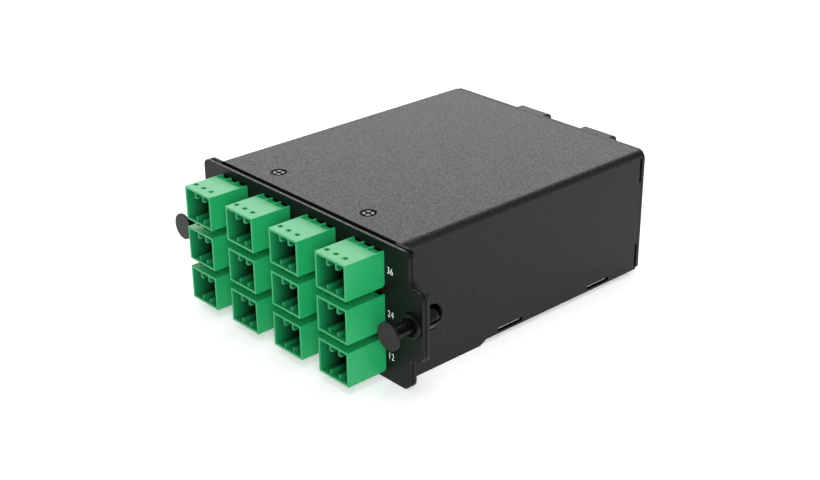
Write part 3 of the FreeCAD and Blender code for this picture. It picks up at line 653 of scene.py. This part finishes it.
def shape_heads(shell):
    """Widen the cross recesses, and make the heads a little smaller and higher."""
    for corner in shell.verts:
        axis = nearest(old_axes, corner.co)
        from_axis = corner.co.xy - axis
        cross = (from_axis.length < RECESS_REACH_MM * MM
                 and corner.co.z > screws_high.z - RECESS_DEPTH_MM * MM)
        corner.co.xy = axis + SCREWS_LEFT + from_axis * (RECESS_WIDER if cross else HEAD_SHARE)
        corner.co.z += HEAD_RAISED_MM * MM


def in_recess(centre, normal):
    """Face inside a screw's cross recess, painted darker as painted shade."""
    return ((centre.xy - nearest(axes, centre)).length < RECESS_REACH_MM * RECESS_WIDER * MM
            and centre.z < screws_high.z + (HEAD_RAISED_MM - CLOSE_MM) * MM)


def at_screw(centre, normal):
    """Face of the cover's countersink, painted dark as painted shade."""
    return (centre.xy - nearest(axes, centre)).length < SEAT_REACH_MM * MM and normal.z < SQUARE_ON


def at_slot(centre, normal):
    """Edge face of a slot in the cover's side, painted dark as painted shade."""
    return (centre.z < cover_low.z + SLOT_ZONE_MM * MM and abs(normal.x) < SQUARE_ON
            and abs(centre.x) > cover_high.x - SKIN_MM * MM)


def at_flange_top(centre, normal):
    """Upper edge of the tray's front flange, painted dark as painted shade in the gap."""
    return (centre.z > plate_high.z - TOP_ZONE_MM * MM and normal.z > UPWARDS
            and centre.y < plate_high.y + FLANGE_MM * MM)


def behind_cover(centre, normal):
    """Face of the tray that the cover hides, painted matt black as painted shade."""
    return (cover_high.x - (SKIN_MM + BEND_MM) * MM < abs(centre.x) < cover_high.x - SHEET_MM * MM
            and plate_high.y + FLANGE_MM * MM < centre.y < cover_high.y and normal.z > UNDERSIDE)


# Painted shade: single faces get the dark steel or the matt black where hollows, gaps and slots fall dark.
screws = rounded_copy("cover_screws", black_oxide, "root", SHEET_EDGE_MM, shape_heads)
print("bare faces:", recolour(screws, painted_shade_steel, in_recess), recolour(cover, painted_shade_steel, at_screw),
      recolour(cover, painted_shade_steel, at_slot), recolour(tray, painted_shade_steel, at_flange_top),
      recolour(tray, painted_shade_black, behind_cover))

# %% [markdown]
# ## Pieces inside
# The clips, plugs and ribbons are hidden in the closed box. They keep their solids and get a true
# finish each, because a plug's dark face shows at the bottom of every open port.

# %% Finishes of the inner pieces
def paint(names, material):
    """Give whole nodes one material."""
    for name in names:
        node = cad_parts[name]
        node.data.materials.clear()
        node.data.materials.append(material)
    print(f"{len(names)} nodes in {material.name}")


paint(["adapter_clips"] + numbered("rear_adapter_clips"), spring_steel)
paint(numbered("port_plugs_") + numbered("ribbon_plug_"), plug_plastic)
paint(numbered("ribbon_harness_"), ribbon_jacket)

# %% [markdown]
# ## Printed numbers
# The last port number of each row is printed in white beside it. The ink is a thin flat film, so each
# number is a text outline turned to a mesh and laid a few hundredths of a millimetre off the plate.
# The ink also glows a little, a painted light that keeps the figures white.

# %% Port numbers
NUMBER_HEIGHT_MM = 2.1
NUMBER_WIDTH_SHARE = 0.82
STROKE_THINNER_MM = 0.045
LETTER_SPACE = 1.12
NUMBER_FROM_MIDDLE_MM = 40.3
INK_MM = 0.03
INK_PAINTED_GLOW = 0.3
INK_GRAIN_MM = 0.3
INK_ROUGHNESS = 0.6
TEXT_CAP_SHARE = 0.7

ink, ink_tree = new_material("white_screen_ink")
ink_place = add(ink_tree, "ShaderNodeTexCoord")
ink_grain = add(ink_tree, "ShaderNodeTexNoise", {"Scale": per_metre(INK_GRAIN_MM)},
                {"Vector": ink_place.outputs["Object"]})
ink_tone = blend(ink_tree, "#ededed", "#ffffff", ink_grain.outputs["Fac"])
# Painted light: the ink glows weakly in its own tone.
ink_surface = add(ink_tree, "ShaderNodeBsdfPrincipled",
                  {"Roughness": INK_ROUGHNESS, "Emission Strength": INK_PAINTED_GLOW},
                  {"Base Color": ink_tone, "Emission Color": ink_tone})
add(ink_tree, "ShaderNodeOutputMaterial", links={"Surface": ink_surface.outputs["BSDF"]})


def print_number(words, height):
    """Flat white figures on the plate's face, centred beside their row."""
    curve = bpy.data.curves.new(f"number_{words}_text", "FONT")
    curve.body = words
    curve.size = NUMBER_HEIGHT_MM * MM / TEXT_CAP_SHARE
    curve.align_x = "CENTER"
    curve.align_y = "CENTER"
    curve.extrude = INK_MM * MM / 2
    curve.offset = -STROKE_THINNER_MM * MM
    curve.space_character = LETTER_SPACE
    text = bpy.data.objects.new(f"number_{words}_outline", curve)
    bpy.context.scene.collection.objects.link(text)
    graph = bpy.context.evaluated_depsgraph_get()
    mesh = bpy.data.meshes.new_from_object(text.evaluated_get(graph))
    bpy.data.objects.remove(text)
    mesh.transform(Matrix.Diagonal((NUMBER_WIDTH_SHARE, 1.0, 1.0, 1.0)))
    mesh.transform(Matrix.Rotation(math.radians(90), 4, "X"))
    mesh.transform(Matrix.Translation((NUMBER_FROM_MIDDLE_MM * MM, plate_low.y - INK_MM * MM / 2, height)))
    mesh.materials.clear()
    mesh.materials.append(ink)
    piece = bpy.data.objects.new(f"number_{words}", mesh)
    bpy.context.scene.collection.objects.link(piece)
    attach(piece, "root")


for row, words in ((1, "12"), (2, "24"), (3, "36")):
    low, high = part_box(f"adapter_row{row}_column4")
    print_number(words, (low.z + high.z) / 2)
print("numbers at", NUMBER_FROM_MIDDLE_MM, "mm from the middle")

# %% [markdown]
# ## Floor
# A packshot stands on a sweep of white paper. Camera rays see it a little brighter than it is lit, and
# so do reflections, which keeps the background white without more light on the cassette.

# %% Floor
FLOOR_METRES = 6.0
SEEN_BRIGHTER = 0.35

white, white_tree = new_material("white_paper_sweep")
rays = add(white_tree, "ShaderNodeLightPath")
seen = add(white_tree, "ShaderNodeMath", {"operation": "MAXIMUM"},
           {0: rays.outputs["Is Camera Ray"], 1: rays.outputs["Is Glossy Ray"]})
seen_through = add(white_tree, "ShaderNodeMath", {"operation": "MAXIMUM"},
                   {0: seen.outputs["Value"], 1: rays.outputs["Is Transmission Ray"]})
lift = add(white_tree, "ShaderNodeMath", {"operation": "MULTIPLY", 1: SEEN_BRIGHTER},
           {0: seen_through.outputs["Value"]})
paper = add(white_tree, "ShaderNodeBsdfDiffuse", {"Color": linear("#f0f0f0")})
glow = add(white_tree, "ShaderNodeEmission", {"Color": linear("#ffffff")},
           {"Strength": lift.outputs["Value"]})
sum_of_both = add(white_tree, "ShaderNodeAddShader",
                  links={0: paper.outputs["BSDF"], 1: glow.outputs["Emission"]})
add(white_tree, "ShaderNodeOutputMaterial", links={"Surface": sum_of_both.outputs["Shader"]})

floor_mesh = bpy.data.meshes.new("floor")
half = FLOOR_METRES / 2
floor_corners = [(-half, -half, 0), (half, -half, 0), (half, half, 0), (-half, half, 0)]
floor_mesh.from_pydata(floor_corners, [], [(0, 1, 2, 3)])
floor_mesh.materials.append(white)
floor = bpy.data.objects.new("floor", floor_mesh)
bpy.context.scene.collection.objects.link(floor)
print("floor:", FLOOR_METRES, "m wide")

# %% [markdown]
# ## Light
# The strongest lamp is a large soft box behind and to the left. It skims over the lid and shows its
# texture. A smaller one in front lights the plate and the green tops, a low one the sides and the
# port mouths, and a weak one overhead fills in. A faint white sky softens what they leave dark.

# %% World and lamps
SKY_STRENGTH = 0.3

world = bpy.data.worlds.new("studio")
world.use_nodes = True
world.node_tree.nodes.clear()
sky = add(world.node_tree, "ShaderNodeBackground", {"Color": linear("#ffffff"), "Strength": SKY_STRENGTH})
add(world.node_tree, "ShaderNodeOutputWorld", links={"Surface": sky.outputs["Background"]})
bpy.context.scene.world = world


def soft_box(name, place, aim, width, height, power):
    """Rectangular lamp at a place, facing a point, in metres and watts."""
    lamp = bpy.data.lights.new(name, "AREA")
    lamp.shape = "RECTANGLE"
    lamp.size = width
    lamp.size_y = height
    lamp.energy = power
    holder = bpy.data.objects.new(name, lamp)
    holder.location = place
    holder.rotation_euler = (Vector(aim) - Vector(place)).to_track_quat("-Z", "Y").to_euler()
    bpy.context.scene.collection.objects.link(holder)


cassette = (0.0, 0.0, 0.02)
soft_box("overhead_box", (0.1, 0.0, 1.0), cassette, width=0.6, height=0.6, power=3.5)
soft_box("rear_box", (-1.0, 0.9, 0.85), cassette, width=1.6, height=1.1, power=20.0)
soft_box("front_box", (1.0, -0.8, 0.65), cassette, width=0.6, height=0.6, power=11.5)
soft_box("low_box", (0.8, -0.8, 0.16), cassette, width=0.5, height=0.24, power=2.6)
print("lamps:", len(bpy.data.lights))

# %% [markdown]
# ## Camera
# The lens, the angles and the place were worked out from points of the cassette that can be told in the
# photograph. The place is measured from the foot of the plate's face, and the roll is slight.

# %% Camera
LENS_MM = 61.1
SENSOR_MM = 36.0
NEAR_METRES = 0.01
AZIMUTH = math.radians(48.06)
ELEVATION = math.radians(25.11)
ROLL = math.radians(-0.56)
CAMERA_FROM_PLATE_MM = (297.6, -223.7, 204.1)

camera = bpy.data.cameras.new("camera")
camera.sensor_width = SENSOR_MM
camera.lens = LENS_MM
camera.clip_start = NEAR_METRES
holder = bpy.data.objects.new("camera", camera)
bpy.context.scene.collection.objects.link(holder)
holder.location = Vector(CAMERA_FROM_PLATE_MM) * MM + Vector((0, plate_low.y, plate_low.z))
look = Vector((-math.sin(AZIMUTH) * math.cos(ELEVATION), math.cos(AZIMUTH) * math.cos(ELEVATION),
               -math.sin(ELEVATION)))
level = look.to_track_quat("-Z", "Y")
holder.rotation_euler = (level @ Quaternion((0, 0, 1), ROLL)).to_euler()
bpy.context.scene.camera = holder
bpy.context.scene.view_settings.view_transform = "Standard"
print("camera at", [round(part, 4) for part in holder.location])

# %% [markdown]
# ## Update of the scene
# The view layer is brought up to date.

# %% Update of the view layer
bpy.context.view_layer.update()
